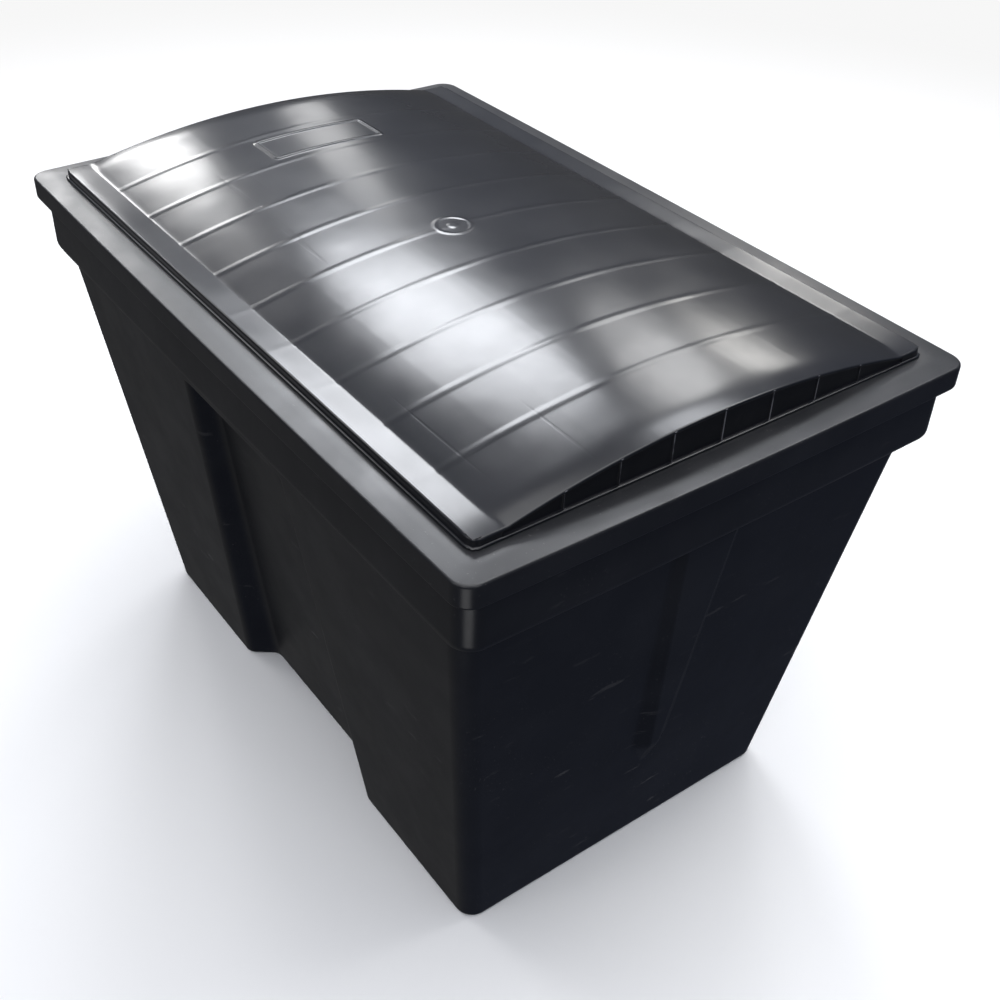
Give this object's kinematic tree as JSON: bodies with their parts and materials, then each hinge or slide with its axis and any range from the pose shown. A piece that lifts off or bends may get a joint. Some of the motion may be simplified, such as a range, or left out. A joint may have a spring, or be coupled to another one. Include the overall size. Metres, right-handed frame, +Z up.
{
  "type": "lidded storage bin",
  "caption": "Tapered nestable plastic storage bin with a wide flat rim, recessed long sides and a lift-off arched lid.",
  "frame": {"origin": "centre of the bin's flat base, on the ground", "axes": "+X along the long side towards one end, +Y across the width, +Z up"},
  "size_m": [1.208, 0.806, 0.8394],
  "materials": {
    "tub_plastic": "satin black moulded polyethylene, scuffed",
    "lid_plastic": "semi-gloss black moulded polyethylene, finely scratched"
  },
  "bodies": {
    "tub": {"tub": "tub_plastic"},
    "lid": {"lid": "lid_plastic"}
  },
  "joints": [
    {"name": "lid_lift", "type": "slide", "parent": "tub", "child": "lid", "axis": [0, 0, 1], "range_m": [0, 0.3]}
  ]
}
